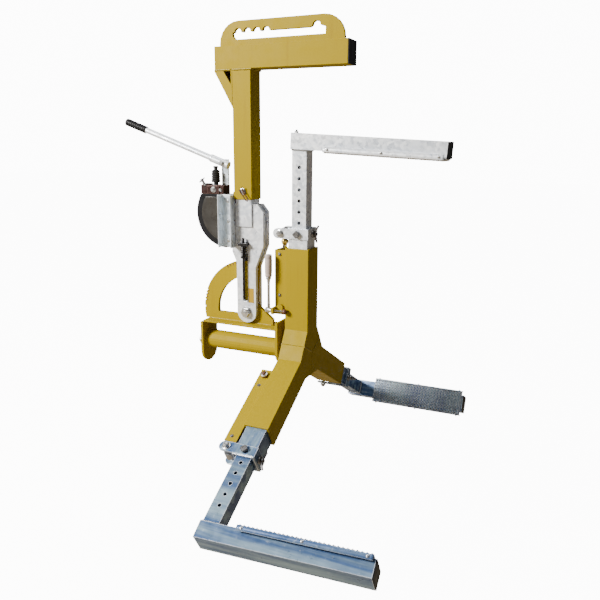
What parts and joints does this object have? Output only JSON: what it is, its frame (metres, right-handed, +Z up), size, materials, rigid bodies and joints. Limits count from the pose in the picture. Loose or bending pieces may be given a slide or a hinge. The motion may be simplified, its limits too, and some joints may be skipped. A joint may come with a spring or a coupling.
{
  "type": "three-arm lifting grab",
  "caption": "Crane-hung grab whose rotating hub carries three telescopic arms with inward grip fingers, on a tilting cradle under a post with a hook plate and a hand pump.",
  "frame": {"origin": "the hook seat: the scallop in the upper edge of the hook plate window, above the tilt pivot", "axes": "+Z up, +X the way the fingers point, Y across"},
  "size_m": [1.391, 1.5394, 1.7445],
  "materials": {
    "yellow_paint": "glossy safety-yellow paint with worn edges",
    "galvanised": "hot-dip galvanised, spangled and dull",
    "zinc": "bright zinc plated",
    "steel": "machined and oiled",
    "chrome_rod": "polished hard chrome",
    "brown_steel": "semi-gloss brown",
    "cast_block": "rough casting with brown paint",
    "black_plastic": "matt moulded",
    "grey_plastic": "worn grey-brown grip",
    "rubber_boot": "matt rubber"
  },
  "bodies": {
    "hanger": {"hook_plate": "yellow_paint", "top_beam": "yellow_paint", "beam_end_plug": "black_plastic", "hanger_post": "yellow_paint", "post_gusset": "yellow_paint", "post_pin": "zinc", "yoke_tube": "galvanised", "yoke_plate_front": "galvanised", "yoke_plate_rear": "galvanised", "yoke_spacer": "galvanised", "pivot_bolt": "zinc", "pawl_guide": "zinc", "pump_bracket": "zinc", "pump_reservoir": "black_plastic", "pump_block": "cast_block", "pump_link": "zinc"},
    "pawl": {"pawl_rod": "zinc", "pawl_spring": "steel"},
    "lever": {"pump_lever": "galvanised", "lever_grip": "black_plastic"},
    "piston": {"pump_piston": "rubber_boot"},
    "cradle": {"sector_plate": "yellow_paint", "cradle_plate": "yellow_paint", "cradle_front_plate": "yellow_paint", "cradle_rear_plate": "yellow_paint", "axle_tube": "yellow_paint"},
    "spider": {"spindle": "steel", "spindle_nut": "zinc", "arm_box_1": "yellow_paint", "ram_housing_1": "yellow_paint", "ram_barrel_1": "brown_steel", "arm_box_2": "yellow_paint", "ram_housing_2": "yellow_paint", "ram_barrel_2": "brown_steel", "arm_box_3": "yellow_paint", "ram_housing_3": "yellow_paint", "ram_barrel_3": "brown_steel"},
    "lock": {"lock_lever": "zinc", "lock_grip": "grey_plastic"},
    "slide_1": {"inner_tube_1": "galvanised", "ram_rod_1": "chrome_rod", "clevis_bolt_1": "zinc", "setting_pin_1": "zinc"},
    "arm_1": {"finger_1": "galvanised", "grip_pad_1": "galvanised", "finger_plug_1": "black_plastic"},
    "slide_2": {"inner_tube_2": "galvanised", "ram_rod_2": "chrome_rod", "clevis_bolt_2": "zinc", "setting_pin_2": "zinc"},
    "arm_2": {"finger_2": "galvanised", "grip_pad_2": "galvanised", "finger_plug_2": "black_plastic"},
    "slide_3": {"inner_tube_3": "galvanised", "ram_rod_3": "chrome_rod", "clevis_bolt_3": "zinc", "setting_pin_3": "zinc"},
    "arm_3": {"finger_3": "galvanised", "grip_pad_3": "galvanised", "finger_plug_3": "black_plastic"}
  },
  "joints": [
    {"name": "pawl_lift", "type": "slide", "parent": "hanger", "child": "pawl", "axis": [0, 0, 1], "range_m": [0, 0.03], "stiffness_N_per_m": 900, "springref_m": -0.008, "deforming": ["pawl_spring"]},
    {"name": "pump_stroke", "type": "hinge", "parent": "hanger", "child": "lever", "pos_m": [-0.119, 0, -0.503], "axis": [0, 1, 0], "range_deg": [-12, 30]},
    {"name": "piston_stroke", "type": "slide", "parent": "hanger", "child": "piston", "axis": [0, 0, 1], "range_m": [-0.009, 0.021]},
    {"name": "cradle_tilt", "type": "hinge", "parent": "hanger", "child": "cradle", "pos_m": [-0.006, 0, -1.107], "axis": [0, 1, 0], "range_deg": [-4, 90]},
    {"name": "spider_turn", "type": "hinge", "parent": "cradle", "child": "spider", "pos_m": [0.23, 0, -1.25], "axis": [1, 0, 0], "continuous": true},
    {"name": "lock_turn", "type": "hinge", "parent": "spider", "child": "lock", "pos_m": [0.15, -0.0625, -1.075], "axis": [1, 0, 0], "range_deg": [-60, 60]},
    {"name": "ram_stroke_1", "type": "slide", "parent": "spider", "child": "slide_1", "axis": [0, 0, 1], "range_m": [-0.036, 0.1]},
    {"name": "arm_setting_1", "type": "slide", "parent": "slide_1", "child": "arm_1", "axis": [0, 0, 1], "range_m": [-0.2532, 0.0422]},
    {"name": "ram_stroke_2", "type": "slide", "parent": "spider", "child": "slide_2", "axis": [0, -0.866, -0.5], "range_m": [-0.018, 0.1]},
    {"name": "arm_setting_2", "type": "slide", "parent": "slide_2", "child": "arm_2", "axis": [0, -0.866, -0.5], "range_m": [-0.1688, 0.0844]},
    {"name": "ram_stroke_3", "type": "slide", "parent": "spider", "child": "slide_3", "axis": [0, 0.866, -0.5], "range_m": [-0.018, 0.1]},
    {"name": "arm_setting_3", "type": "slide", "parent": "slide_3", "child": "arm_3", "axis": [0, 0.866, -0.5], "range_m": [-0.1688, 0.0844]}
  ],
  "couplings": [
    {"joint": "piston_stroke", "follows": "pump_stroke", "m_per_rad": 0.037}
  ]
}
